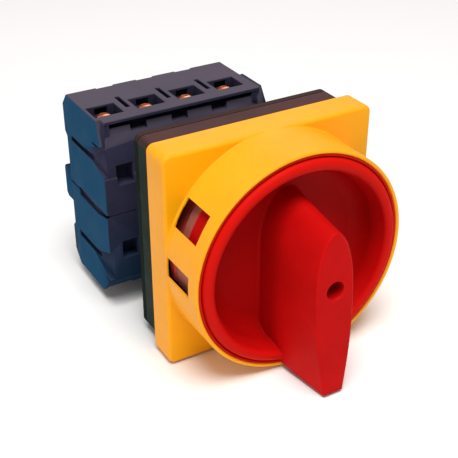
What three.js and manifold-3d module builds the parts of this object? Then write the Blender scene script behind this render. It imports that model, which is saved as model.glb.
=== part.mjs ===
// Rotary isolator switch, four poles, for a panel or door: a yellow masking plate with a padlock collar
// and a red handle in front of the panel, and a dark blue contact block behind it.
// Frame: millimetres, +Z up, the shaft lies along Y, the handle is at -Y, and the origin is where the
// shaft's axis meets the plane that the panel seals against.
// The switch is drawn ON; 90 degrees anticlockwise is OFF.
import * as THREE from 'three';
import { ConvexGeometry } from 'three/addons/geometries/ConvexGeometry.js';
import { mergeVertices } from 'three/addons/utils/BufferGeometryUtils.js';
import Module from 'manifold-3d';

const wasm = await Module();
wasm.setup();

// Driving dimensions.
const GAP = 0.3; // between pieces that touch
const PLATE = { half: 33.5, corner: 2.2, front: -20.4, rear: -10.9, skin: 2.2, edge: 1 };
const COLLAR = { outer: 33.64, inner: 32.5, relief: 33, lip: 2.4, front: -37.15, chamfer: 0.45 };
const WINDOW = { front: -33, rear: -20.9, spans: [[22.3, 37.9], [-4.2, 6.8]] }; // degrees over the horizontal
const BASE = { half: 31.8, plinth: 31.2, corner: 2.4, floor: -6, pocket: 31, padHalf: 26.7, gasket: 2 };
const HANDLE = { rim: 32.2, crown: -38.3, rimBase: -36.6, bowl: 27.8, floorRadius: 26.6, floor: -27.5 };
const SKIRT = { radius: 31.5, front: -34.6, rear: -26.2, wall: 2 };
const HUB = { radius: 8, rear: -19.8, socket: 3.8, socketFront: -33.6 };
const GRIP = { baseHalf: 8, frontHalf: 5.9, tipHalf: 3.1, frontY: -52.6, slope: 0.065, top: 17, tip: -33.3 };
const GRIP_MIDDLE = { half: 5.9, y: -37.6, z: -31.8 }; // where the tail leaves the collar
const GRIP_HOLE = { radius: 2.75, floor: -39, clearance: 1.7 };
const RING = { outer: 29.5, inner: 26, bore: 8.3, front: -25.2, rear: -20.1, web: 1.7 };
RING.notches = [[84, 129], [231, 276]]; // degrees, as seen with the switch ON
const LUGS = { spans: [[-9, 12], [168, 189]], radius: 31.2, inner: 29.9, front: -31.5, rear: -21.7 };
const DRUM = { outer: 28.2, front: -19.8, rear: -12.2, lugStep: -18.3, lugRadius: 30.6 };
DRUM.groove = { radius: 27, rear: -17.7 };
const SHAFT = { radius: 4.8, square: 7, front: -33.3, rear: 15.4, journal: 3.2, stub: 1.1 };
const SCREW_PITCH = 25; // square pattern of the four screws that clamp the panel
const M4 = { hole: 2.3, shank: 2, head: 3.7 };
const BODY = { left: -36, right: 17.4, front: 13, rear: 40.5, tierRear: 42, top: 30, tier: 17.5 };
const REAR_BAR = { front: 40.8, rear: 45.4, bottom: -7.5, top: 4 };
const POLES = { count: 4, pitch: 13.5, centre: -9.9 };
const CHAMBER = { left: -4.6, right: 5.6, front: 27.3, rear: 38.5 }; // sides are from the pole's centre
const CHANNEL = { front: 24.6, half: 8 };
const TERMINAL = { side: -0.5, y: 22.6, plate: 17.8, thickness: 1.5, floor: 26, screw: 1.8, hole: 2.1 };
const PINION = { teeth: 8, radius: 3, pressure: 25, front: 18.7, rear: 23.5, backlash: 0.1 };
const INDEX = { radius: 7.5, front: 15.8, rear: 18.2, roller: 1.6, rollerX: 9.4 };
const BRIDGE = { left: -2.8, right: -1.6, front: 27.6, rear: 35.6, half: 14 };

const MODULE_MM = (2 * PINION.radius) / PINION.teeth;
const DEGREE = Math.PI / 180;
const poleX = (i) => POLES.centre + (i - (POLES.count - 1) / 2) * POLES.pitch;

// Materials.
const material = (color, roughness, metalness = 0) =>
  new THREE.MeshStandardMaterial({ color, roughness, metalness });
const YELLOW = material(0xf2b213, 0.45);
const RED = material(0xc8161c, 0.5);
const BLUE = material(0x2b4668, 0.6);
const BLACK = material(0x1b241f, 0.55);
const RUBBER = material(0x161616, 0.9);
const GREY = material(0xa98f8c, 0.5);
const BEIGE = material(0xcfc6b0, 0.6);
const STEEL = material(0xb9bcc0, 0.35, 1);
const COPPER = material(0xc07a4a, 0.35, 1);
const BRONZE = material(0xb8793f, 0.35, 1);

// A closed three.js geometry as a manifold-3d solid, facing out.
function solid(geometry) {
  const corners = geometry.getAttribute('position').clone();
  const plain = new THREE.BufferGeometry().setAttribute('position', corners);
  if (geometry.index) plain.setIndex(geometry.index);
  const merged = mergeVertices(plain, 1e-4);
  const kept = [];
  for (let i = 0; i < merged.index.count; i += 3) {
    const [a, b, c] = [0, 1, 2].map((k) => merged.index.getX(i + k));
    if (a !== b && b !== c && c !== a) kept.push(a, b, c);
  }
  const build = (order) =>
    new wasm.Manifold(
      new wasm.Mesh({
        numProp: 3,
        vertProperties: new Float32Array(merged.attributes.position.array),
        triVerts: new Uint32Array(order),
      }),
    );
  const made = build(kept);
  return made.volume() > 0 ? made : build(kept.slice().reverse());
}

const join = (first, ...rest) => rest.reduce((sum, one) => sum.add(one), first);
const cut = (first, ...rest) => rest.reduce((left, one) => left.subtract(one), first);

function geometryOf(made) {
  const data = made.getMesh();
  return new THREE.BufferGeometry()
    .setAttribute('position', new THREE.BufferAttribute(new Float32Array(data.vertProperties), 3))
    .setIndex(new THREE.BufferAttribute(new Uint32Array(data.triVerts), 1));
}

function mirroredInZ(made) {
  return solid(geometryOf(made).scale(1, 1, -1));
}

function box([x0, x1], [y0, y1], [z0, z1]) {
  const geometry = new THREE.BoxGeometry(x1 - x0, y1 - y0, z1 - z0);
  return solid(geometry.translate((x0 + x1) / 2, (y0 + y1) / 2, (z0 + z1) / 2));
}

// A cylinder along Y, from y0 to y1, about the line through x and z.
function rod(radius, y0, y1, x = 0, z = 0, sides = 24) {
  const geometry = new THREE.CylinderGeometry(radius, radius, y1 - y0, sides);
  return solid(geometry.translate(x, (y0 + y1) / 2, z));
}

// A cylinder along Z.
function post(radius, z0, z1, x, y, sides = 16) {
  const geometry = new THREE.CylinderGeometry(radius, radius, z1 - z0, sides).rotateX(Math.PI / 2);
  return solid(geometry.translate(x, y, (z0 + z1) / 2));
}

// A closed profile of [radius, y] points turned about the shaft's axis.
function turned(profile, sides = 60) {
  const closed = [...profile, profile[0]].map(([r, y]) => new THREE.Vector2(r, y));
  return solid(new THREE.LatheGeometry(closed, sides));
}

// A shape drawn in X and Z, running along Y from y0 to y1.
function alongY(shape, y0, y1, options = {}) {
  const settings = { depth: y1 - y0, bevelEnabled: false, curveSegments: 5, ...options };
  const geometry = new THREE.ExtrudeGeometry(shape, settings);
  const toY = new THREE.Matrix4().set(1, 0, 0, 0, 0, 0, 1, y0, 0, 1, 0, 0, 0, 0, 0, 1);
  return solid(geometry.applyMatrix4(toY));
}

// A polygon of [y, z] points, running along X from x0 to x1.
function alongX(points, x0, x1) {
  const shape = new THREE.Shape(points.map(([y, z]) => new THREE.Vector2(y, z)));
  const geometry = new THREE.ExtrudeGeometry(shape, { depth: x1 - x0, bevelEnabled: false });
  const toX = new THREE.Matrix4().set(0, 0, 1, x0, 1, 0, 0, 0, 0, 1, 0, 0, 0, 0, 0, 1);
  return solid(geometry.applyMatrix4(toX));
}

function polygon(points) {
  return new THREE.Shape(points.map(([x, z]) => new THREE.Vector2(x, z)));
}

function roundedSquare(half, radius) {
  const shape = new THREE.Shape();
  const inner = half - radius;
  const corners = [[inner, inner], [-inner, inner], [-inner, -inner], [inner, -inner]];
  corners.forEach(([x, z], i) => {
    shape.absarc(x, z, radius, 90 * i * DEGREE, 90 * (i + 1) * DEGREE, false);
  });
  shape.closePath();
  return shape;
}

// A part of a ring between two radii, its angles in degrees above the horizontal on the left (or right) side.
function sector(inner, outer, from, to, y0, y1, side = -1) {
  const steps = 6;
  const arc = (radius, a, b) =>
    Array.from({ length: steps + 1 }, (_, i) => {
      const angle = (a + ((b - a) * i) / steps) * DEGREE;
      return [side * radius * Math.cos(angle), radius * Math.sin(angle)];
    });
  return alongY(polygon([...arc(inner, from, to), ...arc(outer, to, from)]), y0, y1);
}

// The yellow plate that hides the panel's cut-out, with the collar that the padlock goes through.
function maskingPlate() {
  const { half, corner, front, rear, skin, edge } = PLATE;
  const slab = alongY(roundedSquare(half, corner), front + edge, rear + 2 * edge, {
    bevelEnabled: true,
    bevelThickness: edge,
    bevelSize: edge,
    bevelOffset: -edge,
    bevelSegments: 3,
  });
  const beyond = rear + 10;
  const cavity = alongY(roundedSquare(BASE.plinth + GAP, corner - 0.5), front + skin, beyond);
  const rearCut = box([-40, 40], [rear, beyond], [-40, 40]);
  const collar = turned([
    [COLLAR.relief, front + skin],
    [COLLAR.relief, COLLAR.front + COLLAR.lip + 0.5],
    [COLLAR.inner, COLLAR.front + COLLAR.lip],
    [COLLAR.inner, COLLAR.front],
    [COLLAR.outer - COLLAR.chamfer, COLLAR.front],
    [COLLAR.outer, COLLAR.front + COLLAR.chamfer],
    [COLLAR.outer, front + skin],
  ], 72);
  const bore = rod(COLLAR.relief, front - 1, front + skin + 1, 0, 0, 72);
  const windows = [-1, 1].flatMap((side) =>
    WINDOW.spans.map(([from, to]) =>
      sector(COLLAR.inner - 1, COLLAR.outer + 1, from, to, WINDOW.front, WINDOW.rear, side),
    ),
  );
  return cut(join(cut(slab, cavity, rearCut, bore), collar), ...windows);
}

// The four screws that hold the contact block to the frame, through the panel.
function screwPlaces() {
  const half = SCREW_PITCH / 2;
  return [[-half, -half], [-half, half], [half, -half], [half, half]];
}

// The black frame behind the masking plate: it carries the shaft and lies on the panel.
function baseFrame() {
  const { half, plinth, corner, floor, pocket, padHalf, gasket } = BASE;
  const rear = -gasket - GAP;
  const inner = roundedSquare(plinth, corner - 0.5);
  const front = alongY(inner, PLATE.front + PLATE.skin + GAP, PLATE.rear);
  const block = alongY(roundedSquare(half, corner), PLATE.rear + GAP, rear);
  const plug = alongY(inner, PLATE.rear - 1, PLATE.rear + 1);
  const pad = alongY(roundedSquare(padHalf, 2), rear - 1, 0);
  const hub = rod(9, -16.5, floor + 1);
  const well = rod(pocket, -30, floor, 0, 0, 48);
  const bore = rod(SHAFT.radius + GAP, -20, 1);
  const sealSeat = rod(7.3, -5, 1);
  const screws = screwPlaces().map(([x, z]) => rod(M4.hole, -10, 1, x, z, 16));
  return cut(join(cut(join(front, plug, block, pad), well), hub), bore, sealSeat, ...screws);
}

function panelGasket() {
  const outer = alongY(roundedSquare(BASE.half, BASE.corner), -BASE.gasket, 0);
  return cut(outer, alongY(roundedSquare(BASE.padHalf + GAP, 2), -5, 5));
}

// The grip's outline at one depth: straight sides, a tapered tail below and a pointed arch above.
function gripOutline(half, tailHalf, straightTop, archTop, tail, depth) {
  const points = [];
  const steps = 7;
  for (const side of [-1, 1]) {
    points.push([side * tailHalf, tail], [side * half, straightTop - 12], [side * half, straightTop]);
    for (let i = 1; i <= steps; i++) {
      const t = i / steps;
      points.push([side * half * Math.sqrt(1 - t * t), straightTop + (archTop - straightTop) * t]);
    }
  }
  return points.map(([x, z]) => new THREE.Vector3(x, depth(z), z));
}

function grip() {
  const { baseHalf, frontHalf, tipHalf, frontY, slope, top, tip } = GRIP;
  const { half, y, z } = GRIP_MIDDLE;
  const front = gripOutline(frontHalf, tipHalf, 0, top, tip, (level) => frontY + slope * level);
  const base = gripOutline(baseHalf, baseHalf, 4, 19.8, -29, () => HANDLE.floor + 1);
  const middle = [-1, 1].map((side) => new THREE.Vector3(side * half, y, z));
  return solid(new ConvexGeometry([...front, ...base, ...middle]));
}

// The red handle: a dished disc inside the collar, and the grip across it.
function handle() {
  const { rim, crown, rimBase, bowl, floorRadius, floor } = HANDLE;
  const rimArc = Array.from({ length: 7 }, (_, i) => {
    const angle = (i / 6) * Math.PI;
    const middle = (rim + bowl) / 2;
    return [middle + ((rim - bowl) / 2) * Math.cos(angle), rimBase + (crown - rimBase) * Math.sin(angle)];
  });
  const dish = turned([
    [0, floor],
    [0, floor + 2],
    [SKIRT.radius - SKIRT.wall, floor + 2],
    [SKIRT.radius - SKIRT.wall + 0.3, SKIRT.rear],
    [SKIRT.radius, SKIRT.rear],
    [SKIRT.radius, SKIRT.front],
    [rim, SKIRT.front - 0.6],
    ...rimArc,
    [floorRadius + 0.4, floor - 0.8],
    [floorRadius - 0.6, floor],
  ]);
  const hub = rod(HUB.radius, floor + 1, HUB.rear);
  const hole = rod(GRIP_HOLE.radius, -60, GRIP_HOLE.floor);
  const clearance = rod(GRIP_HOLE.clearance, GRIP_HOLE.floor - 1, -33, 0, 0, 16);
  const across = [-HUB.socket, HUB.socket];
  const socket = box(across, [HUB.socketFront, -15], across);
  const seats = LUGS.spans.map(([from, to]) =>
    sector(LUGS.inner - GAP, SKIRT.radius + 1, from - 1, to + 1, LUGS.front - GAP, -20),
  );
  return cut(join(dish, hub, grip()), hole, clearance, socket, ...seats);
}

// Gaps in the ring and drum that face the collar's windows only when the switch is OFF.
const lockNotches = (rear) => RING.notches.map(([from, to]) => sector(20, 31, from, to, -27, rear));

// The grey ring under the handle, whose lugs shut the lower windows when the switch is ON.
function lockRing() {
  const { outer, inner, bore, front, rear, web } = RING;
  const wall = turned([
    [bore, front],
    [outer, front],
    [outer, rear],
    [inner, rear],
    [inner, front + web],
    [bore, front + web],
  ]);
  const lugs = LUGS.spans.flatMap(([from, to]) => [
    sector(LUGS.inner, LUGS.radius, from, to, LUGS.front, front + web),
    sector(inner + 2, LUGS.radius, from, to, front, LUGS.rear),
  ]);
  return join(cut(wall, ...lockNotches(rear + 1)), ...lugs);
}

// The red drum behind the ring, with the same lugs and notches.
function lockDrum() {
  const { outer, front, rear, groove, lugStep, lugRadius } = DRUM;
  const wall = turned([
    [RING.inner, front],
    [groove.radius, front],
    [groove.radius, groove.rear],
    [outer, groove.rear],
    [outer, rear],
    [RING.inner, rear],
  ]);
  const lugs = LUGS.spans.flatMap(([from, to]) => [
    sector(RING.outer + GAP, LUGS.radius, from, to, LUGS.rear + GAP, lugStep),
    sector(RING.inner + 0.5, LUGS.radius, from, to, front, lugStep),
    sector(RING.inner + 0.5, lugRadius, from, to, lugStep - 1, rear),
  ]);
  return join(cut(wall, ...lockNotches(rear - 1.5)), ...lugs);
}

function handleScrew() {
  const head = rod(2.45, -41.6, -39.3, 0, 0, 24);
  const shank = rod(1.4, -39.4, -26, 0, 0, 16);
  const slot = box([-3, 3], [-42, -40.8], [-0.4, 0.4]);
  return cut(join(head, shank), slot);
}

function shaft() {
  const half = SHAFT.square / 2;
  const square = box([-half, half], [SHAFT.front, -15], [-half, half]);
  const body = rod(SHAFT.radius, -16, SHAFT.rear);
  const journal = rod(SHAFT.journal, SHAFT.rear - 1, PINION.front - GAP);
  const across = [-SHAFT.stub, SHAFT.stub];
  const stub = box(across, [PINION.front - 1, PINION.rear + GAP], across);
  const bore = rod(1.7, -34, -25, 0, 0, 16);
  return cut(join(square, body, journal, stub), bore);
}

const shaftSeal = () => turned([[5.1, -4.7], [7, -4.7], [7, -1.9], [5.1, -1.9]], 24);
const shaftBush = () => turned([[5.1, 1.2], [6.8, 1.2], [6.8, 12.8], [5.1, 12.8]], 24);

// The disc that the detent rollers ride on, with a shallow seat at every quarter turn.
function indexDisc() {
  const disc = rod(INDEX.radius, INDEX.front, INDEX.rear, 0, 0, 40);
  const seats = [0, 1, 2, 3].map((i) => {
    const angle = (i * Math.PI) / 2;
    const reach = INDEX.radius + INDEX.roller;
    return rod(2.1, INDEX.front - 1, INDEX.rear + 1, reach * Math.cos(angle), reach * Math.sin(angle), 20);
  });
  return cut(disc, rod(SHAFT.journal + GAP, 10, 20), ...seats);
}

const detentRoller = (side) => rod(INDEX.roller, INDEX.front, INDEX.rear, side * INDEX.rollerX, 0, 20);

// A bowed leaf that presses the roller on the disc.
function detentSpring(side) {
  const bow = [[-5, 12.6], [0, 11.2], [5, 12.6], [5, 13], [0, 11.6], [-5, 13]];
  return alongY(polygon(bow.map(([z, x]) => [side * x, z])), INDEX.front, INDEX.rear);
}

// Half the angle that one involute tooth spans at a radius.
function toothHalfAngle(radius) {
  const involute = (angle) => Math.tan(angle) - angle;
  const pressure = PINION.pressure * DEGREE;
  const atRadius = Math.acos(Math.min(1, (PINION.radius * Math.cos(pressure)) / radius));
  const pitchHalf = Math.PI / (2 * PINION.teeth) - PINION.backlash / (2 * PINION.radius);
  return pitchHalf + involute(pressure) - involute(atRadius);
}

function drivePinion() {
  const tip = PINION.radius + 0.8 * MODULE_MM;
  const root = PINION.radius - 0.6 * MODULE_MM - 0.25;
  const base = PINION.radius * Math.cos(PINION.pressure * DEGREE);
  const outline = [];
  for (let tooth = 0; tooth < PINION.teeth; tooth++) {
    const middle = ((tooth + 0.5) / PINION.teeth) * 2 * Math.PI - Math.PI / 2;
    const flank = Array.from({ length: 5 }, (_, i) => base + ((tip - base) * i) / 4);
    const side = [root, ...flank];
    const at = (radius, offset) => [radius * Math.cos(middle + offset), radius * Math.sin(middle + offset)];
    side.forEach((radius) => outline.push(at(radius, -toothHalfAngle(Math.max(radius, base)))));
    side.reverse().forEach((radius) => outline.push(at(radius, toothHalfAngle(Math.max(radius, base)))));
  }
  const wheel = alongY(polygon(outline), PINION.front, PINION.rear);
  const bore = [-SHAFT.stub - 0.2, SHAFT.stub + 0.2];
  return cut(wheel, box(bore, [0, 30], bore));
}

// The carriage's rack, its teeth facing up under the pinion.
function rack() {
  const pitch = Math.PI * MODULE_MM;
  const line = -PINION.radius;
  const [tip, root] = [line + 0.6 * MODULE_MM, line - 0.8 * MODULE_MM - 0.25];
  const lean = Math.tan(PINION.pressure * DEGREE);
  const half = (z) => pitch / 4 - PINION.backlash / 2 - (z - line) * lean;
  const outline = [[-11, -7.4], [-11, root]];
  for (let tooth = -4; tooth <= 2; tooth++) {
    const x = tooth * pitch;
    outline.push([x - half(root), root], [x - half(tip), tip], [x + half(tip), tip], [x + half(root), root]);
  }
  outline.push([6.5, root], [6.5, -7.4]);
  return alongY(polygon(outline), PINION.front + 0.1, PINION.rear + 1.6);
}

// The sliding carriage that holds a contact bridge in each pole.
function contactCarriage() {
  const last = POLES.count - 1;
  const bar = box([poleX(0) - 4.2, poleX(last) + 0.6], [25, 27.2], [-7.4, 4]);
  const arms = Array.from({ length: POLES.count }, (_, i) => {
    const x = poleX(i);
    const frame = box([x - 4.2, x + 0.6], [26.5, 37.2], [-4, 4]);
    return cut(frame, box([x - 3.1, x - 0.3], [27.2, 36], [-5, 5]));
  });
  return join(bar, rack(), ...arms);
}

const contactBridge = (i) => {
  const x = poleX(i);
  return box([x + BRIDGE.left, x + BRIDGE.right], [BRIDGE.front, BRIDGE.rear], [-BRIDGE.half, BRIDGE.half]);
};

// A leaf between the bridge and the carriage, which presses the bridge on the fixed contacts.
function contactSpring(i) {
  const x = poleX(i);
  const bow = [[-3.4, -0.75], [0, -1.45], [3.4, -0.75], [3.4, -0.45], [0, -1.15], [-3.4, -0.45]];
  return alongY(polygon(bow.map(([z, dx]) => [x + dx, z])), 29, 34);
}

// The upper fixed contact of one pole: a terminal plate and a leg down beside the bridge.
function fixedContact(i) {
  const x = poleX(i);
  const { side, plate, thickness, y, hole } = TERMINAL;
  const levels = [plate, plate + thickness];
  const terminal = box([x - 4.2, x + 3.7], [18, 28], levels);
  const strip = box([x - 4.2, x - 0.5], [27.5, 36], levels);
  const leg = box([x - 4.2, x - 3.1], [29, 36], [9, plate + 1]);
  return cut(join(terminal, strip, leg), post(hole, plate - 1, plate + 3, x + side, y));
}

function clampPlate(i) {
  const x = poleX(i);
  const plate = box([x - 3.6, x + 3.6], [18.6, 26.6], [21.6, 23]);
  return cut(plate, post(TERMINAL.hole, 21, 24, x + TERMINAL.side, TERMINAL.y));
}

function terminalScrew(i) {
  const { side, y, floor, screw } = TERMINAL;
  const x = poleX(i) + side;
  const head = post(2.05, floor + 0.2, floor + 2.6, x, y, 20);
  const shank = post(screw, 15.5, floor + 1, x, y);
  const slot = box([x - 3, x + 3], [y - 0.4, y + 0.4], [floor + 1.7, floor + 3]);
  return cut(join(head, shank), slot);
}

// What is the same in both halves of the housing, drawn for the upper one.
function housingBlock(outline) {
  const { left, right, front, top } = BODY;
  const seam = GAP / 2;
  const step = [[front, seam], [front, 25], [16, top - 0.5], [27, top - 0.5], [29, top - 2.5], [29, seam]];
  const flange = alongX(step, right - 1, right + 1.8);
  const neck = rod(9.5, GAP, front + 1);
  const upper = screwPlaces().filter(([, z]) => z > 0);
  const posts = upper.map(([x, z]) => rod(4, GAP, front + 1, x, z));
  const below = box([-60, 60], [-10, 60], [-60, seam]);
  return cut(join(alongX(outline, left, right), flange, neck, ...posts), below);
}

// The slanted recess in the left wall's front corner, under the terminal tier.
function sideRecess(left) {
  const depth = left + 1.4;
  const outside = [[27, 17.7], [12, 12.2], [12, 23.4]].map(([y, z]) => [left - 1, y, z]);
  const inside = [[13, 12.6], [13, 23], [12, 12.6], [12, 23]].map(([y, z]) => [depth, y, z]);
  const corners = [...outside, [left, 27, 17.7], ...inside];
  return solid(new ConvexGeometry(corners.map((at) => new THREE.Vector3(...at))));
}

// The grooves in the left wall: one under the terminal tier and one on the seam, deeper in the lower half.
function sideGrooves(left, side) {
  const [seamTop, tierLow, tierHigh] = side > 0 ? [0.45, 15.4, 17.2] : [2.1, 16.4, 18.4];
  return [
    box([left - 1, left + 1], [20.9, 37], [tierLow, tierHigh]),
    box([left - 1, left + 1], [26, 34], [-1, Math.max(0.9, seamTop)]),
    alongX([[12, -1], [12, 0.45], [20, seamTop], [27, seamTop], [27, -1]], left - 1, left + 0.8),
    sideRecess(left),
  ];
}

// What one pole hollows out of a half: contact chamber, wire entry, screw well and front window.
function poleHollows(x) {
  const { top, tier } = BODY;
  const { side, floor, y } = TERMINAL;
  return [
    box([x + CHAMBER.left, x + CHAMBER.right], [CHAMBER.front, CHAMBER.rear], [-1, tier]),
    box([x - 4.5, x + 4.5], [17.2, 50], [tier - 0.2, floor - 1]),
    box([x - 4.9, x + 4], [18.5, 26], [floor, top + 1]),
    box([x - 2, x + 2], [25, 29.5], [floor + 0.8, top - 1]),
    post(2.2, 14, floor + 1, x + side, y),
    box([x - 1.5, x + 3.8], [12, 16.5], [9.6, 15.7]),
  ];
}

// The hollows of one half, drawn for the upper one; side is -1 for the half that is mirrored afterwards.
function housingHollows(side) {
  const poles = Array.from({ length: POLES.count }, (_, i) => poleX(i));
  const width = [poles[0] + CHAMBER.left, poles[POLES.count - 1] + CHAMBER.right];
  return [
    rod(7.1, -1, 14),
    rod(SHAFT.radius + GAP, 12, 16),
    box([-13.2, 13.2], [15.3, CHANNEL.front + 1], [-9, 9]),
    box(width, [CHANNEL.front, CHAMBER.front + 0.5], [-CHANNEL.half, CHANNEL.half]),
    ...sideGrooves(BODY.left, side),
    ...screwPlaces().map(([x, z]) => rod(M4.hole, -1, 11, x, z, 20)),
    ...rearScrewPlaces().map(([x, z]) => rod(1.5, 38.9, 43, x, z * side, 16)),
    ...poles.flatMap(poleHollows),
  ];
}

function upperHousing() {
  const { left, right, front, rear, tierRear, top, tier } = BODY;
  const block = housingBlock([
    [front, 0], [front, 12.2], [front + 0.7, 12.2], [front + 0.7, 21.5], [front + 1.95, 27.3],
    [front + 2.5, 27.3], [front + 2.7, 25.9], [18, 25.9], [18, 29], [14.1, 29], [14.1, top],
    [38.6, top], [tierRear, 26], [tierRear, tier - 0.5], [rear, tier - 2], [rear, 0],
  ]);
  // The groove under the terminal ledge is closed at both ends.
  const ends = [[left, left + 3.1], [right - 2.4, right]].map((across) =>
    box(across, [front + 1.3, 18.2], [25.5, 29.2]),
  );
  const slant = [[front - 1, 22], [14.4, 22], [17, top + 1], [front - 1, top + 1]];
  const corner = alongX(slant, left - 1, left + 1.5);
  const ledgeLine = box([left - 1, left + 0.6], [front - 1, 20.5], [21.3, 22]);
  const details = [corner, ledgeLine];
  for (let i = 0; i < POLES.count - 1; i++) {
    const x = (poleX(i) + poleX(i + 1)) / 2;
    details.push(
      box([x - 2.7, x + 2.7], [front - 1, 18], [25.2, 28.5]),
      box([x - 0.8, x + 0.5], [21, 29.6], [27.5, top + 1]),
      box([x - 0.7, x + 0.7], [tierRear - 1.5, tierRear + 1], [tier, top + 1]),
      box([x - 2.9, x + 2.9], [38, tierRear + 1], [29, top + 1]),
    );
  }
  return cut(join(block, ...ends), ...housingHollows(1), ...details);
}

function lowerHousing() {
  const { front, rear, tierRear, top, tier } = BODY;
  const block = housingBlock([
    [front, 0], [front, 22.6], [front + 0.6, 22.6], [front + 0.6, 23.4], [20, top],
    [38.5, top], [tierRear, 26], [tierRear, tier - 0.5], [rear, tier - 2], [rear, 0],
  ]);
  return mirroredInZ(cut(block, ...housingHollows(-1)));
}

// The walls between the first two and the last two poles, where the rear screws go in.
const partitionX = (i) => poleX(i) + (CHAMBER.left + CHAMBER.right + POLES.pitch) / 2;
const rearScrewPlaces = () => [2.2, -5].flatMap((z) => [0, 2].map((i) => [partitionX(i), z]));

// The bar that holds the two halves together at the rear.
function rearBar() {
  const { front, rear, bottom, top } = REAR_BAR;
  const outline = [
    [front, bottom], [rear - 1.5, bottom], [rear, bottom + 1.2],
    [rear, top - 1], [rear - 1, top], [front, top],
  ];
  const places = rearScrewPlaces();
  const holes = places.map(([x, z]) => rod(1.6, 39, 50, x, z, 16));
  const seats = places.map(([x, z]) => rod(2.6, 43.4, 50, x, z));
  return cut(alongX(outline, BODY.left, BODY.right), ...holes, ...seats);
}

function rearScrew([x, z]) {
  const head = rod(2.3, 43.7, 45.3, x, z);
  const shank = rod(1.2, 39.2, 44, x, z, 16);
  const slot = box([x - 3, x + 3], [44.6, 46], [z - 0.35, z + 0.35]);
  return cut(join(head, shank), slot);
}

function mountingScrew([x, z]) {
  const head = rod(M4.head, -8.9, BASE.floor - GAP, x, z);
  const shank = rod(M4.shank, -7, 10.5, x, z, 16);
  const slot = box([x - 4, x + 4], [-10, -7.9], [z - 0.5, z + 0.5]);
  return cut(join(head, shank), slot);
}

// The assembly.
const switchAssembly = new THREE.Group();

function add(name, made, look, parent = switchAssembly) {
  const mesh = new THREE.Mesh(geometryOf(made), look);
  mesh.name = name;
  parent.add(mesh);
}

const turning = new THREE.Group();
const sliding = new THREE.Group();
switchAssembly.add(turning, sliding);

add('masking_plate', maskingPlate(), YELLOW);
add('base_frame', baseFrame(), BLACK);
add('panel_gasket', panelGasket(), RUBBER);
add('shaft_seal', shaftSeal(), RUBBER);
add('shaft_bush', shaftBush(), BEIGE);
add('housing_upper', upperHousing(), BLUE);
add('housing_lower', lowerHousing(), BLUE);
add('rear_bar', rearBar(), BLUE);
rearScrewPlaces().forEach((place, i) => add(`rear_screw_${i + 1}`, rearScrew(place), STEEL));
screwPlaces().forEach((place, i) => add(`mounting_screw_${i + 1}`, mountingScrew(place), STEEL));
for (const [name, side] of [['left', -1], ['right', 1]]) {
  add(`detent_roller_${name}`, detentRoller(side), STEEL);
  add(`detent_spring_${name}`, detentSpring(side), STEEL);
}

add('handle', handle(), RED, turning);
add('lock_ring', lockRing(), GREY, turning);
add('lock_drum', lockDrum(), RED, turning);
add('handle_screw', handleScrew(), STEEL, turning);
add('shaft', shaft(), BLACK, turning);
add('index_disc', indexDisc(), BEIGE, turning);
add('drive_pinion', drivePinion(), BEIGE, turning);

add('contact_carriage', contactCarriage(), BEIGE, sliding);
for (let i = 0; i < POLES.count; i++) {
  const pole = i + 1;
  add(`contact_bridge_${pole}`, contactBridge(i), COPPER, sliding);
  add(`contact_spring_${pole}`, contactSpring(i), STEEL, sliding);
  for (const [level, place] of [['top', (made) => made], ['bottom', mirroredInZ]]) {
    add(`fixed_contact_${level}_${pole}`, place(fixedContact(i)), COPPER);
    add(`clamp_plate_${level}_${pole}`, place(clampPlate(i)), STEEL);
    add(`terminal_screw_${level}_${pole}`, place(terminalScrew(i)), BRONZE);
  }
}

export default switchAssembly;
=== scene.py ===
"""Looks of a rotary isolator switch: yellow masking plate, red handle, blue contact block.

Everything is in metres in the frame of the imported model: X to the right, -Y towards the handle, Z up.
The shaft's axis is the Y axis. Shapes are written in millimetres and scaled by MM.
"""

import math

import bmesh
import bpy
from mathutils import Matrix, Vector
from mathutils.bvhtree import BVHTree
from mathutils.kdtree import KDTree


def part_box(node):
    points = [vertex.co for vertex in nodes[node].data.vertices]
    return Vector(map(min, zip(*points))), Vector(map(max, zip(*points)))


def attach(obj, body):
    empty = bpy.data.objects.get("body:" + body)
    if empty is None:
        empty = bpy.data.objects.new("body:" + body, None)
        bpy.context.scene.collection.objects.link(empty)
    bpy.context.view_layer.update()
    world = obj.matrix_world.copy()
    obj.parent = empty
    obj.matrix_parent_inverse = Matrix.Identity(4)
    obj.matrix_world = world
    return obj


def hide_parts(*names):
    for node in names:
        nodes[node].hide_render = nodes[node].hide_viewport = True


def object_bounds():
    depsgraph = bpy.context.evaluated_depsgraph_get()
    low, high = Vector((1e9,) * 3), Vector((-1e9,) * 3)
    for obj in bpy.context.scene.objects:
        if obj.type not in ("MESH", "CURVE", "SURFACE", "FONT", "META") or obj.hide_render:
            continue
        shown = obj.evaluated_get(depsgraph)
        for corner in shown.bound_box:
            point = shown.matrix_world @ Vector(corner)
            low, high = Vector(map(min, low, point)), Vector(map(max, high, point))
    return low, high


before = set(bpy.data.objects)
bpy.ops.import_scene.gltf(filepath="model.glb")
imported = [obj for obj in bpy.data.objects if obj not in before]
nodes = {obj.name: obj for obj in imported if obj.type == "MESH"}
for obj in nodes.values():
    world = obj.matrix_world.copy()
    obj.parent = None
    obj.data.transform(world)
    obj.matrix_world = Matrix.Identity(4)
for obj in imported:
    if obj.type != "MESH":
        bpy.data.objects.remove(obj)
cad_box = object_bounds()

MM = 0.001
POLES = 4
SHARP = math.radians(32)

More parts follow.
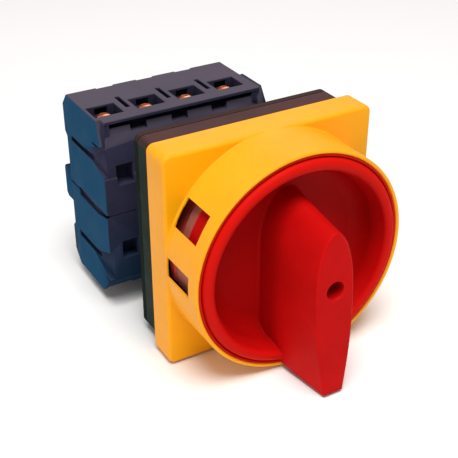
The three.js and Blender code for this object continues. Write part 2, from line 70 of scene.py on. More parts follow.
# The masking plate and its collar, in millimetres.
PLATE_HALF = 33.5
PLATE_CORNER = 2.2
PLATE_EDGE = 1.0  # rounding of the front edge
PLATE_REAR_EDGE = 0.25  # chamfer of the rear edge
PLATE_SKIN = 2.2
PLATE_FRONT = -20.4
PLATE_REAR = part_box("masking_plate")[1].y / MM
CAVITY_HALF = 31.5
CAVITY_CORNER = 1.7
COLLAR_RADIUS = 33.64
COLLAR_BORE = 32.5
COLLAR_RELIEF = 33.0  # the bore behind its lip
COLLAR_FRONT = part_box("masking_plate")[0].y / MM
COLLAR_EDGE = 0.4
COLLAR_INNER_EDGE = 0.5
COLLAR_FLARE = 0.35  # where the collar meets the plate
WINDOW_SPANS = ((22.3, 37.9), (-4.2, 6.8))  # degrees above the horizontal
WINDOW_Y = (-33.0, -20.9)

# The handle, in millimetres.
HANDLE_REAR = -25.5
BOSS_FRONT = -26.2  # a low boss on the rear
BOSS_RADIUS = 29.5
SKIRT_RADIUS = 31.5
LIP_RADIUS = 32.42
LIP_REAR = -35.3
LIP_FRONT = -36.9
RIM_OUTER = 31.4
RIM_BASE = -36.6
RIM_CROWN = -38.3
BOWL_RADIUS = 27.8
BOWL_FLOOR_RADIUS = 26.6
BOWL_FLOOR = -27.5
BOWL_FOOT = 5.0  # rounding between the bowl's wall and floor
FLOOR_RING = 12.0  # an extra ring of points on the bowl's floor
HUB_RADIUS = 8.0
HUB_REAR = -19.8
LUG_SPANS = ((-10, 13), (167, 190))  # degrees above the horizontal
LUG_RADII = (29.6, 33.0)
LUG_Y = (-31.8, -20.0)
HOLE_RADIUS = 2.75  # over the screw
HOLE_FLOOR = -39
COUNTERSINK = ((3.9, -53.7), (2.6, -52.2))  # radius and y at either end
CLEARANCE_RADIUS = 1.7  # about the screw's shank
SOCKET_HALF = 3.8  # square socket for the shaft
SOCKET_FRONT = -33.6

# The grip's outline at the bowl's floor and at its front face, in millimetres.
GRIP_FRONT = -52.6
GRIP_SLOPE = 0.065  # the front face leans by this much along Z
GRIP_FLARE = 0.8
GRIP_EDGE = 0.75
GRIP_HALF = (8.0, 5.9)
ARCH_SPRING = (4.0, 0.0)  # where the rounded end begins
ARCH_TOP = (19.8, 17.0)
SHOULDER = (-20.0, -7.0)  # where the sides turn in towards the tail
KEEL = 0.42  # share of the grip's height where the tail's slope changes
TAIL_END = (-29.0, -32.0, -33.3)  # at the floor, at the keel and at the front
TAIL_HALF = (8.0, 5.9, 3.1)
TAIL_BOW = 1.7  # how late the sides turn in

# Where one colour gives way to another, in metres along an axis or from the shaft's axis. Most of these
# limits bound painted light and shade.
TIER_TOP = (0.027, 0.0285)
TIER_SLANT = (0.021, 0.0216)
LEFT_WALL = (-0.0358, -0.0353)
LOWER_HALF = (-0.027, 0.002)
RIM_INSIDE = (0.0279, 0.0286)
RIM_AHEAD = (-0.0400, -0.0392)
RIM_BEHIND = (-0.0366, -0.0358)
BOWL_DEPTH = (-0.0368, -0.0330)

# How soften() tells a good rounding from a bad one. Lengths are in widths of the rounding.
SHORT_EDGE = 2.2  # an edge this short has no room for a rounding
NARROW_FACE = 0.9  # a face this narrow belongs to the rounding itself
BENT_REACH = 1.6  # points this near to a bent face stay sharp
BENT = math.cos(math.radians(1.5))
ROUNDING_TRIES = 8


# ---------------------------------------------------------------- meshes

def link(name, bm):
    mesh = bpy.data.meshes.new(name)
    bmesh.ops.recalc_face_normals(bm, faces=bm.faces)
    bm.to_mesh(mesh)
    bm.free()
    made = bpy.data.objects.new(name, mesh)
    bpy.context.scene.collection.objects.link(made)
    return made


def bake_modifiers(made):
    """The object's mesh becomes what its modifiers make of it."""
    graph = bpy.context.evaluated_depsgraph_get()
    graph.update()
    mesh = bpy.data.meshes.new_from_object(made.evaluated_get(graph))
    made.modifiers.clear()
    old = made.data
    made.data = mesh
    bpy.data.meshes.remove(old)


def smooth(made, angle=SHARP):
    """Smooth shading that keeps wide flat faces flat."""
    mesh = made.data
    mesh.polygons.foreach_set("use_smooth", [True] * len(mesh.polygons))
    mesh.set_sharp_from_angle(angle=angle)
    step = made.modifiers.new("normals", "WEIGHTED_NORMAL")
    step.keep_sharp = True
    step.weight = 100
    bake_modifiers(made)


def boolean(made, other, operation="DIFFERENCE"):
    """Cuts, joins or intersects with another object, which is used up."""
    step = made.modifiers.new("cut", "BOOLEAN")
    step.operation = operation
    step.solver = "EXACT"
    step.object = other
    bake_modifiers(made)
    bpy.data.objects.remove(other)


def sharp_edges(bm, limit, kept):
    """Edges sharper than a limit in degrees that touch none of the kept points."""
    return [e for e in bm.edges if e.is_manifold and e.calc_face_angle() > math.radians(limit)
            and not kept.intersection(v.index for v in e.verts)]


def bent_faces(bm, source, width):
    """Faces wider than a rounding whose normal is no longer that of the face they came from."""
    for face in bm.faces:
        longest = max(e.calc_length() for e in face.edges)
        if face.calc_area() < NARROW_FACE * width * longest:
            continue
        _, normal, _, _ = source.find_nearest(face.calc_center_median())
        if normal.dot(face.normal) < BENT:
            yield face


def soften(made, width, segments=2, limit=30):
    """Rounds sharp edges, leaving those whose rounding would bend the flat faces beside them."""
    width = width * MM
    bm = bmesh.new()
    bm.from_mesh(made.data)
    source = BVHTree.FromBMesh(bm)
    points = KDTree(len(bm.verts))
    for v in bm.verts:
        points.insert(v.co, v.index)
    points.balance()
    short = [e for e in sharp_edges(bm, limit, set()) if e.calc_length() < SHORT_EDGE * width]
    kept = {v.index for e in short for v in e.verts}
    for left in reversed(range(ROUNDING_TRIES)):
        trial = bm.copy()
        trial.edges.ensure_lookup_table()
        free = sharp_edges(trial, limit, kept)
        bmesh.ops.bevel(trial, geom=free, offset=width, offset_type="OFFSET", segments=segments,
                        profile=0.5, affect="EDGES", clamp_overlap=False)
        bent = {v for face in bent_faces(trial, source, width) for v in face.verts}
        near = {index for v in bent for _, index, _ in points.find_range(v.co, BENT_REACH * width)}
        if near <= kept or not left:
            break
        kept |= near
        trial.free()
    trial.to_mesh(made.data)
    trial.free()
    bm.free()


def clean(made, angle=0.5):
    """Merges points that coincide and dissolves the edges inside flat faces."""
    bm = bmesh.new()
    bm.from_mesh(made.data)
    bmesh.ops.remove_doubles(bm, verts=bm.verts, dist=0.002 * MM)
    bmesh.ops.dissolve_limit(bm, angle_limit=math.radians(angle), verts=bm.verts, edges=bm.edges)
    many_sided = [f for f in bm.faces if len(f.verts) > 4]
    bmesh.ops.triangulate(bm, faces=many_sided, ngon_method="BEAUTY")
    bmesh.ops.recalc_face_normals(bm, faces=bm.faces)
    bm.to_mesh(made.data)
    bm.free()


def lathe(name, profile, steps=144, closed=False):
    """Turns [radius, y] points about the shaft's axis."""
    bm = bmesh.new()
    turns = [2 * math.pi * i / steps for i in range(steps)]
    rings = []
    for radius, y in profile:
        if radius == 0:
            rings.append([bm.verts.new((0, y * MM, 0))])
        else:
            rings.append([bm.verts.new((radius * MM * math.cos(turn), y * MM, radius * MM * math.sin(turn)))
                          for turn in turns])
    pairs = list(zip(rings, rings[1:]))
    if closed:
        pairs.append((rings[-1], rings[0]))
    for first, second in pairs:
        for i in range(steps):
            j = (i + 1) % steps
            if len(first) == 1:
                bm.faces.new((first[0], second[i], second[j]))
            elif len(second) == 1:
                bm.faces.new((first[i], second[0], first[j]))
            else:
                bm.faces.new((first[i], second[i], second[j], first[j]))
    return link(name, bm)


def loft(name, levels):
    """A solid through outlines that all have the same number of [x, y, z] points."""
    bm = bmesh.new()
    loops = [[bm.verts.new(Vector(p) * MM) for p in level] for level in levels]
    for first, second in zip(loops, loops[1:]):
        count = len(first)
        for i in range(count):
            j = (i + 1) % count
            bm.faces.new((first[i], first[j], second[j], second[i]))
    bm.faces.new(loops[0])
    bm.faces.new(loops[-1])
    return link(name, bm)


def arc(centre, radius, first, last, steps):
    """Points from one angle to another, in degrees."""
    for i in range(steps + 1):
        angle = math.radians(first + (last - first) * i / steps)
        yield centre[0] + radius * math.cos(angle), centre[1] + radius * math.sin(angle)


def quarter_turn(steps):
    """Angles from 0 to a quarter turn, in radians."""
    return [math.pi / 2 * i / steps for i in range(steps + 1)]


def circle(radius, y, steps=48):
    turns = [2 * math.pi * i / steps for i in range(steps)]
    return [(radius * math.cos(turn), y, radius * math.sin(turn)) for turn in turns]


def rounded_square(half, radius, y):
    inner = half - radius
    centres = ((inner, inner), (-inner, inner), (-inner, -inner), (inner, -inner))
    return [(x, y, z) for quarter, centre in enumerate(centres)
            for x, z in arc(centre, radius, 90 * quarter, 90 * quarter + 90, 8)]


def box(name, x, y, z):
    corners = ((x[0], z[0]), (x[1], z[0]), (x[1], z[1]), (x[0], z[1]))
    return loft(name, [[(cx, level, cz) for cx, cz in corners] for level in y])


def rod(name, radius, y0, y1, steps=48):
    return loft(name, [circle(radius, y0, steps=steps), circle(radius, y1, steps=steps)])


def sector(name, inner, outer, span, y, side=-1):
    """A piece of a ring about the shaft's axis, on the left, -1, or on the right, 1."""
    outline = [*arc((0, 0), inner, *span, 10), *arc((0, 0), outer, *reversed(span), 10)]
    return loft(name, [[(side * px, level, pz) for px, pz in outline] for level in y])


def from_cad(node, width):
    """A finer copy of a CAD node, with softened edges."""
    made = bpy.data.objects.new(node + "_fine", nodes[node].data.copy())
    bpy.context.scene.collection.objects.link(made)
    clean(made)
    soften(made, width)
    smooth(made)
    return made


def dress(made, look, body, slot, *replaced):
    made.data.materials.clear()
    made.data.materials.append(look)
    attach(made, body)
    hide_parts(*replaced)


# ---------------------------------------------------------------- materials

class Tree:
    """A short way to write a material's nodes."""

    def __init__(self, name):
        self.material = bpy.data.materials.new(name)
        self.material.use_nodes = True
        self.tree = self.material.node_tree
        self.shader = self.tree.nodes["Principled BSDF"]
        where = self.add("ShaderNodeTexCoord")
        self.place = where.outputs["Object"]
        self.facing = where.outputs["Normal"]

    def add(self, kind, inputs=None, **settings):
        made = self.tree.nodes.new(kind)
        for key, value in settings.items():
            setattr(made, key, value)
        for key, value in (inputs or {}).items():
            self.feed(made.inputs[key], value)
        return made

    def feed(self, socket, value):
        if isinstance(value, bpy.types.NodeSocket):
            self.tree.links.new(value, socket)
        else:
            socket.default_value = value

    def normal(self, axis):
        return self.add("ShaderNodeSeparateXYZ", {"Vector": self.facing}).outputs[axis]

    def along(self, axis):
        return self.add("ShaderNodeSeparateXYZ", {"Vector": self.place}).outputs[axis]

    def noise(self, scale, detail=3.0, roughness=0.55, stretch=None):
        place = self.place
        if stretch:
            place = self.add("ShaderNodeMapping", {"Vector": place, "Scale": stretch}).outputs["Vector"]
        found = self.add("ShaderNodeTexNoise",
                         {"Vector": place, "Scale": scale, "Detail": detail, "Roughness": roughness})
        return found.outputs["Fac"]

    def span(self, value, low, high, to_low, to_high):
        """A value's place between two limits, as a place between two others."""
        return self.add("ShaderNodeMapRange", {"Value": value, "From Min": low, "From Max": high,
                                               "To Min": to_low, "To Max": to_high}).outputs["Result"]

    def math(self, operation, first, second):
        return self.add("ShaderNodeMath", {0: first, 1: second}, operation=operation).outputs[0]

    def times(self, first, second):
        return self.math("MULTIPLY", first, second)

    def dot(self, first, second):
        made = self.add("ShaderNodeVectorMath", {0: first, 1: second}, operation="DOT_PRODUCT")
        return made.outputs["Value"]

    def mix(self, factor, first, second):
        made = self.add("ShaderNodeMix", {"Factor": factor}, data_type="RGBA")
        self.feed(made.inputs[6], first)
        self.feed(made.inputs[7], second)
        return made.outputs[2]

    def edges(self, radius):
        """1 on edges, 0 on faces, from how far a rounded normal leans from the true one."""
        rounded = self.add("ShaderNodeBevel", {"Radius": radius * MM}, samples=6).outputs["Normal"]
        true = self.add("ShaderNodeNewGeometry").outputs["Normal"]
        return self.span(self.dot(rounded, true), 0.995, 0.85, 0.0, 1.0)

    def recesses(self, reach):
        """1 deep in grooves and wells, 0 on open faces."""
        around = self.add("ShaderNodeAmbientOcclusion", {"Distance": reach * MM}, samples=6)
        return self.span(around.outputs["AO"], 0.25, 0.80, 1.0, 0.0)

    def rim(self):
        """1 on the handle's rim: a band about the shaft's axis, on faces that don't turn along it."""
        x, depth, z = self.add("ShaderNodeSeparateXYZ", {"Vector": self.place}).outputs
        out = self.add("ShaderNodeCombineXYZ", {"X": x, "Z": z}).outputs["Vector"]
        radius = self.add("ShaderNodeVectorMath", {0: out}, operation="LENGTH").outputs["Value"]
        along = self.add("ShaderNodeCombineXYZ", {"X": self.times(z, -1.0), "Z": x}).outputs["Vector"]
        turned = self.math("ABSOLUTE", self.math("DIVIDE", self.dot(along, self.facing), radius), 0.0)
        band = self.times(self.span(radius, *RIM_INSIDE, 0.0, 1.0), self.span(depth, *RIM_AHEAD, 0.0, 1.0))
        band = self.times(band, self.span(depth, *RIM_BEHIND, 1.0, 0.0))
        return self.times(band, self.span(turned, 0.3, 0.5, 1.0, 0.0))

    def bump(self, height, strength, distance):
        made = self.add("ShaderNodeBump",
                        {"Height": height, "Strength": strength, "Distance": distance * MM})
        self.feed(self.shader.inputs["Normal"], made.outputs["Normal"])


def tint(colour, gain):
    return (*(min(1.0, c * gain) for c in colour), 1.0)


def painted_top_sheen(shade, amount):
    """Painted sheen on the terminal tier: a lighter, pinker colour, in patches, thick on its top and
    thinner on its slanted front.
    """
    def layer(t, base):
        patches = t.span(t.noise(38.0, 5.0, 0.65), 0.3, 0.7, 0.75 * amount, amount)
        rise = t.normal("Z")
        height = t.along("Z")
        top = t.times(t.span(rise, 0.5, 0.9, 0.0, 1.0), t.span(height, *TIER_TOP, 0.0, 1.0))
        slant = t.times(t.span(rise, 0.12, 0.2, 0.0, 0.6), t.span(height, *TIER_SLANT, 0.0, 1.0))
        return t.mix(t.times(patches, t.math("MAXIMUM", top, slant)), base, (*shade, 1.0))
    return layer


def painted_left_light(shade):
    """Painted cool light: the contact block's left wall is painted teal where it faces left."""
    def layer(t, base):
        left_wall = t.span(t.along("X"), *LEFT_WALL, 1.0, 0.0)
        cool_lit = t.times(left_wall, t.span(t.normal("X"), -0.9, -0.3, 0.95, 0.0))
        return t.mix(cool_lit, base, (*shade, 1.0))
    return layer


def bluer_behind(shade):
    """Painted light: faces towards the rear and the right are painted bluer, in step with the painted cool
    light on the left wall.
    """
    def layer(t, base):
        rear = t.span(t.normal("Y"), 0.5, 0.9, 0.0, 0.7)
        right = t.span(t.normal("X"), 0.5, 0.9, 0.0, 0.7)
        return t.mix(t.math("MAXIMUM", rear, right), base, (*shade, 1.0))
    return layer


def bluer_below(shade):
    """The colour changes from the middle of the object down to its bottom."""
    return lambda t, base: t.mix(t.span(t.along("Z"), *LOWER_HALF, 0.9, 0.0), base, (*shade, 1.0))


def painted_front_light(shade):
    """Painted light: faces towards the handle are painted a warmer, more saturated yellow."""
    return lambda t, base: t.mix(t.span(t.normal("Y"), -0.97, -0.75, 0.9, 0.0), base, (*shade, 1.0))


def rim_highlight_bowl_shade(rim, bowl):
    """Painted highlight and shade: the handle's rim is painted brighter, and its bowl is painted darker."""
    def layer(t, base):
        base = t.mix(t.times(t.rim(), 0.95), base, (*rim, 1.0))
        depth = t.span(t.along("Y"), *BOWL_DEPTH, 0.0, 1.0)
        return t.mix(t.times(depth, 0.95), base, (*bowl, 1.0))
    return layer


def painted_recess_shade(shade):
    """Painted shade deep in grooves and wells."""
    return lambda t, base: t.mix(t.times(t.recesses(3.0), 0.85), base, (*shade, 1.0))


def plastic(name, colour, roughness, specular=0.5, mottle=0.10, grain=1.0, wear=(1.25, 0.35),
            under=(), over=()):
    """Moulded plastic: cloudy colour, fine sparked grain and paler worn edges.

    Wear is how much paler and how much of the edges. Layers lie under and over it.
    """
    t = Tree(name)
    cloud = t.noise(70.0, 4.0)
    speck = t.noise(1100.0, 2.0, 0.7)
    clouds = t.span(cloud, 0.32, 0.68, 0.0, 1.0)
    base = t.mix(clouds, tint(colour, 1 - mottle), tint(colour, 1 + mottle))
    base = t.mix(t.span(speck, 0.58, 0.80, 0.0, 0.35), base, tint(colour, 1 - 2.2 * mottle))
    for layer in under:
        base = layer(t, base)
    gain, share = wear
    rubbed = t.times(t.edges(0.5), t.span(t.noise(260.0, 3.0), 0.35, 0.7, 0.0, share))
    base = t.mix(rubbed, base, tint(tuple(c + 0.03 for c in colour), gain))
    for layer in over:
        base = layer(t, base)
    t.feed(t.shader.inputs["Base Color"], base)
    smear = t.span(t.noise(150.0, 4.0, 0.6), 0.3, 0.7, roughness - 0.07, roughness + 0.07)
    t.feed(t.shader.inputs["Roughness"], t.math("ADD", smear, t.times(rubbed, 0.15)))
    t.shader.inputs["Specular IOR Level"].default_value = specular
    pits = t.math("ADD", t.noise(2600.0, 2.0, 0.6), t.times(t.noise(420.0, 2.0), 0.7))
    t.bump(pits, 0.16 * grain, 0.06)
    return t.material


def metal(name, colour, roughness, patina, amount, brushed=(1.0, 1.0, 12.0)):
    """Stamped or turned metal: drawn lines, a dull film in patches and bright worn edges."""
    t = Tree(name)
    film = t.span(t.noise(420.0, 5.0, 0.65), 0.40, 0.68, 0.0, amount)
    base = t.mix(film, tint(colour, 1.0), (*patina, 1.0))
    base = t.mix(t.times(t.edges(0.2), 0.6), base, tint(colour, 1.25))
    t.feed(t.shader.inputs["Base Color"], base)
    t.shader.inputs["Metallic"].default_value = 1.0
    lines = t.noise(900.0, 3.0, 0.6, brushed)
    drawn = t.span(lines, 0.3, 0.7, roughness - 0.08, roughness + 0.1)
    t.feed(t.shader.inputs["Roughness"], t.math("ADD", drawn, t.times(film, 0.2)))
    t.bump(lines, 0.2, 0.02)
    return t.material


# Its front faces carry painted light.
YELLOW = plastic("yellow_plastic", (0.92, 0.37, 0.012), 0.45, specular=0.15, mottle=0.05,
                 wear=(1.12, 0.5), under=[painted_front_light((0.94, 0.42, 0.002))])
# Its rim carries a painted highlight and its bowl painted shade.
RED = plastic("red_plastic", (0.49, 0.003, 0.003), 0.55, specular=0.045, mottle=0.09, wear=(1.5, 0.35),
              under=[rim_highlight_bowl_shade(rim=(0.58, 0.006, 0.003), bowl=(0.40, 0.002, 0.002))])
# Painted light: the lock drum's red is brighter and paler than the handle's, standing in for light that the
# collar keeps from it.
DRUM_RED_PAINTED_LIGHT = plastic("drum_red_painted_light", (0.80, 0.11, 0.075), 0.6, specular=0.08, mottle=0.15,
                    wear=(1.2, 0.4))
# Painted light and shade on the contact block: a painted sheen on its top tier, painted cool light on its
# left wall, bluer faces towards the rear and the right, and painted shade in its grooves and wells.
BLUE = plastic("blue_housing_plastic", (0.029, 0.028, 0.056), 0.6, specular=0.03, mottle=0.14,
               wear=(1.7, 0.5),
               under=[bluer_below((0.003, 0.027, 0.060)), bluer_behind((0.008, 0.042, 0.085)),
                      painted_left_light((0.001, 0.057, 0.130))],
               over=[painted_top_sheen((0.094, 0.077, 0.102), 0.9), painted_recess_shade((0.006, 0.005, 0.012))])
# The frame's top faces carry a painted sheen.
BLACK = plastic("black_plastic", (0.007, 0.016, 0.010), 0.55, specular=0.06, mottle=0.15, wear=(1.6, 0.4),
                over=[painted_top_sheen((0.080, 0.034, 0.034), 0.9)])
# Painted reflection: the grey ring is painted pink, for the red of the handle around it.
GREY = plastic("grey_ring_plastic", (0.41, 0.120, 0.088), 0.5, specular=0.2, mottle=0.12, wear=(1.2, 0.5))
BEIGE = plastic("beige_glass_filled_plastic", (0.60, 0.52, 0.38), 0.55, mottle=0.10, wear=(1.2, 0.4))
# The gasket's top faces carry a painted sheen.
RUBBER = plastic("black_rubber", (0.010, 0.014, 0.012), 0.85, specular=0.04, mottle=0.2, grain=2.0,
                 over=[painted_top_sheen((0.060, 0.030, 0.030), 0.9)])
STEEL = metal("zinc_plated_steel", (0.66, 0.65, 0.62), 0.32, (0.40, 0.40, 0.38), 0.5)
COPPER = metal("contact_copper", (0.80, 0.42, 0.25), 0.34, (0.36, 0.16, 0.09), 0.55, (12.0, 1.0, 1.0))
BRONZE = metal("terminal_screw_bronze", (0.98, 0.50, 0.27), 0.30, (0.50, 0.18, 0.08), 0.6)

LOOKS = {"black": BLACK, "rubber": RUBBER, "beige": BEIGE, "grey": GREY, "blue": BLUE, "copper": COPPER,
         "steel": STEEL}


# ---------------------------------------------------------------- pieces

def masking_plate():
    """The yellow plate and its collar in one moulding, with two padlock windows on each side."""
    narrower = PLATE_HALF - PLATE_REAR_EDGE
    levels = [rounded_square(narrower, PLATE_CORNER - PLATE_REAR_EDGE, PLATE_REAR),
              rounded_square(PLATE_HALF, PLATE_CORNER, PLATE_REAR - PLATE_REAR_EDGE)]
    for angle in quarter_turn(6):
        inset = PLATE_EDGE * (1 - math.cos(angle))
        y = PLATE_FRONT + PLATE_EDGE - PLATE_EDGE * math.sin(angle)
        levels.append(rounded_square(PLATE_HALF - inset, PLATE_CORNER - inset, y))
    slab = loft("masking_plate_fine", levels)
    # The cutters reach past what they cut.
    skin = PLATE_FRONT + PLATE_SKIN
    boolean(slab, loft("cavity", [rounded_square(CAVITY_HALF, CAVITY_CORNER, y)
                                  for y in (skin, PLATE_REAR + 5)]))
    boolean(slab, rod("bore", COLLAR_RELIEF, PLATE_FRONT - 3, skin + 3, steps=144))

    edge, inner_edge, flare = COLLAR_EDGE, COLLAR_INNER_EDGE, COLLAR_FLARE
    profile = [
        (COLLAR_RELIEF, skin - 0.2),
        (COLLAR_RELIEF, COLLAR_FRONT + 2.9),
        (COLLAR_BORE, COLLAR_FRONT + 2.4),
        *arc((COLLAR_BORE + inner_edge, COLLAR_FRONT + inner_edge), inner_edge, 180, 270, 5),
        *arc((COLLAR_RADIUS - edge, COLLAR_FRONT + edge), edge, 270, 360, 4),
        *arc((COLLAR_RADIUS + flare, PLATE_FRONT - flare), flare, 180, 90, 6),
        (COLLAR_RADIUS + flare, PLATE_FRONT + 0.8),
        (COLLAR_RADIUS - 0.6, PLATE_FRONT + 1.6),
    ]
    collar = lathe("collar", profile, closed=True)
    trim = loft("trim", [rounded_square(COLLAR_RADIUS + 0.01, PLATE_CORNER, y)
                         for y in (COLLAR_FRONT - 1, PLATE_FRONT + 5)])
    boolean(collar, trim, "INTERSECT")
    boolean(slab, collar, "UNION")
    for side in (-1, 1):
        for span in WINDOW_SPANS:
            boolean(slab, sector("window", COLLAR_BORE - 1, COLLAR_RADIUS + 2, span, WINDOW_Y, side))
    clean(slab)
    soften(slab, 0.15, limit=60)
    smooth(slab, math.radians(40))
    dress(slab, YELLOW, "root", "yellow", "masking_plate")


def between(share, ends):
    return ends[0] + (ends[1] - ends[0]) * share


def grip_outline(depth):
    """The grip's outline at a share of the way from the bowl's floor, 0, to the front face, 1."""
    half, spring, arch, shoulder = (between(depth, ends)
                                    for ends in (GRIP_HALF, ARCH_SPRING, ARCH_TOP, SHOULDER))
    if depth < KEEL:
        tail, tail_half = (between(depth / KEEL, ends[:2]) for ends in (TAIL_END, TAIL_HALF))
    else:
        share = (depth - KEEL) / (1 - KEEL)
        tail, tail_half = (between(share, ends[1:]) for ends in (TAIL_END, TAIL_HALF))
    points = []
    for i in range(25):
        angle = math.pi * i / 24
        points.append((half * math.cos(angle), spring + (arch - spring) * math.sin(angle)))
    left = [(-half, between(i / 3, (spring, shoulder))) for i in (1, 2, 3)]
    for i in range(1, 9):
        along = i / 8
        left.append((-half + (half - tail_half) * along ** TAIL_BOW, between(along, (shoulder, tail))))
    across = [(between(i / 4, (-tail_half, tail_half)), tail) for i in (1, 2, 3)]
    return [*points, *left, *across, *[(-x, z) for x, z in reversed(left)]]


def offset(outline, distance):
    """Moves an anticlockwise outline out by a distance."""
    moved = []
    count = len(outline)
    for i, (x, z) in enumerate(outline):
        before = Vector(outline[i - 1])
        after = Vector(outline[(i + 1) % count])
        here = Vector((x, z))
        first = (here - before).normalized()
        second = (after - here).normalized()
        normal = Vector((first.y + second.y, -first.x - second.x)).normalized()
        stretch = 1 / max(0.5, normal.dot(Vector((first.y, -first.x))))
        moved.append((x + normal.x * distance * stretch, z + normal.y * distance * stretch))
    return moved


def grip():
    """The grip across the handle, flared where it leaves the bowl's floor, its front edge rounded."""
    length = BOWL_FLOOR - GRIP_FRONT
    plan = [(-1.2 / length, GRIP_FLARE)]
    for angle in quarter_turn(6):
        plan.append((GRIP_FLARE * (1 - math.cos(angle)) / length, GRIP_FLARE * (1 - math.sin(angle))))
    plan.extend((share, 0.0) for share in (0.2, 0.31, KEEL, 0.56, 0.7, 0.84))
    for angle in quarter_turn(5):
        plan.append((1 - GRIP_EDGE * (1 - math.sin(angle)) / length, -GRIP_EDGE * (1 - math.cos(angle))))
    levels = []
    for share, out in plan:
        outline = offset(grip_outline(max(0.0, share)), out)
        levels.append([(x, BOWL_FLOOR + (GRIP_FRONT + GRIP_SLOPE * z - BOWL_FLOOR) * share, z)
                       for x, z in outline])
    return loft("grip", levels)


def handle():
    """The red handle: a bowl inside a rounded rim, with the grip across it."""
    rear = [(0, HANDLE_REAR), (BOSS_RADIUS, HANDLE_REAR), (BOSS_RADIUS + 0.3, BOSS_FRONT),
            (SKIRT_RADIUS, BOSS_FRONT)]
    groove = RIM_BASE + 0.4
    lip = [(SKIRT_RADIUS, LIP_REAR + 0.7), (SKIRT_RADIUS + 0.5, LIP_REAR + 0.4), (LIP_RADIUS, LIP_REAR),
           (LIP_RADIUS, LIP_FRONT + 0.1), (LIP_RADIUS - 0.1, LIP_FRONT), (LIP_RADIUS - 0.5, LIP_FRONT),
           (LIP_RADIUS - 0.65, LIP_FRONT + 0.15), (LIP_RADIUS - 0.7, groove), (RIM_OUTER, groove)]
    rim_middle = (RIM_OUTER + BOWL_RADIUS) / 2
    rim_half = (RIM_OUTER - BOWL_RADIUS) / 2
    crown = RIM_BASE - RIM_CROWN
    rim = []
    for i in range(15):
        angle = math.pi * i / 14
        rim.append((rim_middle + rim_half * math.cos(angle), RIM_BASE - crown * math.sin(angle)))
    wall = [(BOWL_RADIUS - 0.5, -35.0), (BOWL_FLOOR_RADIUS + 0.1, BOWL_FLOOR - BOWL_FOOT - 0.8)]
    foot = arc((BOWL_FLOOR_RADIUS - BOWL_FOOT, BOWL_FLOOR - BOWL_FOOT), BOWL_FOOT, 0, 90, 8)
    flat = [(FLOOR_RING, BOWL_FLOOR), (0, BOWL_FLOOR)]
    made = lathe("handle_fine", [*rear, *lip, *rim, *wall, *foot, *flat])
    boolean(made, grip(), "UNION")
    boolean(made, rod("hub", HUB_RADIUS, HANDLE_REAR - 1, HUB_REAR), "UNION")
    for span in LUG_SPANS:
        boolean(made, sector("lug_seat", *LUG_RADII, span, LUG_Y))
    # The cutters reach past what they cut.
    boolean(made, rod("hole", HOLE_RADIUS, -60, HOLE_FLOOR))
    boolean(made, loft("countersink", [circle(radius, y) for radius, y in COUNTERSINK]))
    boolean(made, rod("clearance", CLEARANCE_RADIUS, HOLE_FLOOR - 1, -30))
    side = (-SOCKET_HALF, SOCKET_HALF)
    boolean(made, box("socket", side, (SOCKET_FRONT, -15), side))
    clean(made, 0.2)
    smooth(made, math.radians(35))
    dress(made, RED, "handle", "red", "handle")


def terminal_screw(level, pole):
    """A terminal screw along Z: a domed head with a slot, over its threaded shank."""
    shank, pitch, thread_depth = 1.8, 0.5, 0.16
    head, dome = 1.9, 0.7
    slot_half, slot_depth = 0.4, 0.9
    node = f"terminal_screw_{level}_{pole}"
    low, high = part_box(node)
    up = 1 if level == "top" else -1
    tip, crown = sorted((low.z / MM, high.z / MM), reverse=up < 0)
    x, y = (low.x + high.x) / 2 / MM, (low.y + high.y) / 2 / MM
    radius = (high.x - low.x) / 2 / MM
    rings = [(shank - 0.4, tip), (shank, tip + 0.5 * up)]
    turns = int((abs(crown - tip) - head - 3 * pitch) / pitch)
    for i in range(turns):
        z = tip + up * (0.6 + i * pitch)
        rings.extend([(shank, z), (shank - thread_depth, z + pitch / 2 * up)])
    under = crown - head * up
    rings.extend([(shank - 0.1, under), (radius - 0.15, under), (radius, under + 0.15 * up)])
    for angle in quarter_turn(6):
        rings.append((radius * math.cos(angle * 0.97), crown - (dome - dome * math.sin(angle)) * up))
    levels = [[(x + px, y + pz, z) for px, _, pz in circle(r, 0, steps=32)] for r, z in rings]
    made = loft(node + "_fine", levels)
    boolean(made, box("slot", (x - 3, x + 3), (y - slot_half, y + slot_half),
                      sorted((crown + up, crown - slot_depth * up))))
    clean(made, 0.2)
    smooth(made, math.radians(40))
    dress(made, BRONZE, "root", "bronze", node)


def from_cad_pieces():
    """The pieces whose CAD shape is right: their edges are softened and they get their finish."""
    numbered = [f"{level}_{pole}" for level in ("top", "bottom") for pole in range(1, POLES + 1)]
    table = [
        ("base_frame", "root", "black", 0.5), ("panel_gasket", "root", "rubber", 0.3),
        ("housing_upper", "root", "blue", 0.28), ("housing_lower", "root", "blue", 0.28),
        ("rear_bar", "root", "blue", 0.3), ("lock_ring", "handle", "grey", 0.2),
        ("handle_screw", "handle", "steel", 0.15), ("shaft", "handle", "black", 0.2),
        ("contact_carriage", "carriage", "beige", 0.15),
        *[(f"rear_screw_{i}", "root", "steel", 0.2) for i in range(1, 5)],
        *[(f"mounting_screw_{i}", "root", "steel", 0.2) for i in range(1, 5)],
        *[(f"clamp_plate_{n}", "root", "steel", 0.15) for n in numbered],
        *[(f"fixed_contact_{n}", "root", "copper", 0.15) for n in numbered],
    ]
    for node, body, slot, width in table:
        dress(from_cad(node, width), LOOKS[slot], body, slot, node)
    dress(from_cad("lock_drum", 0.2), DRUM_RED_PAINTED_LIGHT, "handle", "red", "lock_drum")


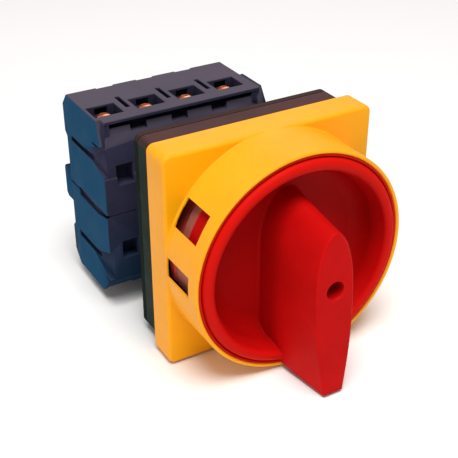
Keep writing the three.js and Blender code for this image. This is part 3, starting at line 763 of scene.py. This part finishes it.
def plain_nodes():
    """Hidden pieces stay as the CAD made them, with their finish."""
    hidden = {"shaft_seal": "rubber", "shaft_bush": "beige", "index_disc": "beige", "drive_pinion": "beige",
              "detent_roller_left": "steel", "detent_roller_right": "steel",
              "detent_spring_left": "steel", "detent_spring_right": "steel"}
    for pole in range(1, POLES + 1):
        hidden[f"contact_bridge_{pole}"] = "copper"
        hidden[f"contact_spring_{pole}"] = "steel"
    for node, slot in hidden.items():
        nodes[node].data.materials.clear()
        nodes[node].data.materials.append(LOOKS[slot])


masking_plate()
handle()
from_cad_pieces()
plain_nodes()
for level in ("top", "bottom"):
    for pole in range(1, POLES + 1):
        terminal_screw(level, pole)


# ---------------------------------------------------------------- floor, light and camera

def floor():
    half = 3.0
    gap = 0.0004
    z = cad_box[0].z - gap
    bm = bmesh.new()
    corners = ((-half, -half), (half, -half), (half, half), (-half, half))
    bm.faces.new([bm.verts.new((x, y, z)) for x, y in corners])
    made = link("floor", bm)
    t = Tree("pale_floor")
    cloud = t.span(t.noise(3.0, 2.0), 0.3, 0.7, 0.0, 1.0)
    t.feed(t.shader.inputs["Base Color"], t.mix(cloud, (0.89, 0.89, 0.89, 1), (0.91, 0.91, 0.91, 1)))
    t.shader.inputs["Roughness"].default_value = 0.9
    t.shader.inputs["Specular IOR Level"].default_value = 0.1
    made.data.materials.append(t.material)


def area_light(name, place, power, colour):
    """A round lamp that looks at the origin."""
    data = bpy.data.lights.new(name, "AREA")
    data.shape = "DISK"
    data.size = 0.6
    data.energy = power
    data.color = colour
    made = bpy.data.objects.new(name, data)
    bpy.context.scene.collection.objects.link(made)
    made.location = place
    made.rotation_euler = (-Vector(place)).to_track_quat("-Z", "Y").to_euler()


def studio():
    world = bpy.data.worlds.new("studio")
    world.use_nodes = True
    background = world.node_tree.nodes["Background"]
    background.inputs["Color"].default_value = (0.95, 0.97, 1.0, 1.0)
    background.inputs["Strength"].default_value = 0.3
    bpy.context.scene.world = world
    area_light("key_above", (-0.12, -0.31, 0.94), 11.5, (1.0, 0.98, 0.95))
    area_light("left_fill", (-0.95, -0.1, 0.2), 1.35, (1.0, 0.98, 0.94))
    area_light("warm_back", (0.5, 0.85, 0.6), 1.5, (1.0, 0.80, 0.76))
    bpy.context.scene.view_settings.view_transform = "Standard"


def camera():
    """The photograph's viewing angle, solved from the plate's, the collar's and the handle's edges."""
    place = Vector((-129.22, -216.99, 143.22)) * MM
    aim = Vector((-1.68, 0.0, -7.63)) * MM
    data = bpy.data.cameras.new("camera")
    data.lens = 75.21
    data.sensor_width = 36.0
    data.clip_start = 0.01
    made = bpy.data.objects.new("camera", data)
    bpy.context.scene.collection.objects.link(made)
    made.location = place
    made.rotation_euler = (aim - place).to_track_quat("-Z", "Y").to_euler()
    bpy.context.scene.camera = made


floor()
studio()
camera()
